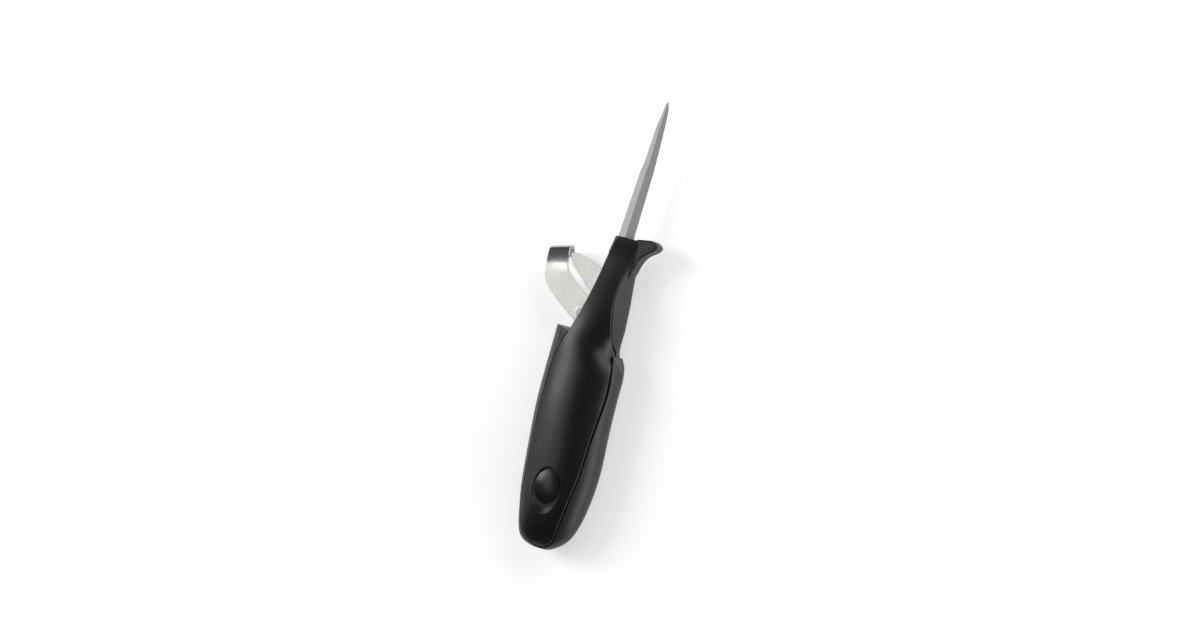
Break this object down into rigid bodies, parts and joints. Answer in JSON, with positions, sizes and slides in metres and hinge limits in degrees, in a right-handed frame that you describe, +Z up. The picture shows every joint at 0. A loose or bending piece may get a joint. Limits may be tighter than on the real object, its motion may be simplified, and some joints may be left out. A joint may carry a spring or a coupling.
{
  "type": "oyster knife",
  "caption": "Oyster knife with a soft grip handle, finger guard, steel blade and a riveted hook jaw beside a fixed jaw.",
  "frame": {"origin": "on the flat of the back face, in line with the root of the blade", "axes": "+Y along the knife from the butt to the blade's tip, +X to the finger guard, +Z up out of the front face"},
  "size_m": [0.0575, 0.2271, 0.0281],
  "materials": {
    "cover_plastic": "satin moulded black plastic",
    "core_plastic": "smooth dark plastic",
    "soft_rubber": "soft matt black elastomer",
    "inlay_plastic": "glossy black",
    "blade_steel": "satin ground steel",
    "jaw_steel": "polished plated steel",
    "rivet_steel": "turned steel",
    "washer_nylon": "natural nylon"
  },
  "bodies": {
    "handle": {"blade": "blade_steel", "handle_core": "core_plastic", "soft_grip": "soft_rubber", "front_cover": "cover_plastic", "back_cover": "cover_plastic", "front_oval_inlay": "inlay_plastic", "back_oval_inlay": "inlay_plastic", "tang_pins": "rivet_steel", "anchor_pin": "rivet_steel", "fixed_jaw": "jaw_steel", "pivot_washer": "washer_nylon", "jaw_rivet": "rivet_steel"},
    "hook": {"hook_jaw": "jaw_steel"}
  },
  "joints": [
    {"name": "hook_pivot", "type": "hinge", "parent": "handle", "child": "hook", "pos_m": [-0.01132, 0.0537, 0.0138], "axis": [0, 0, 1], "range_deg": [0, 40]}
  ]
}
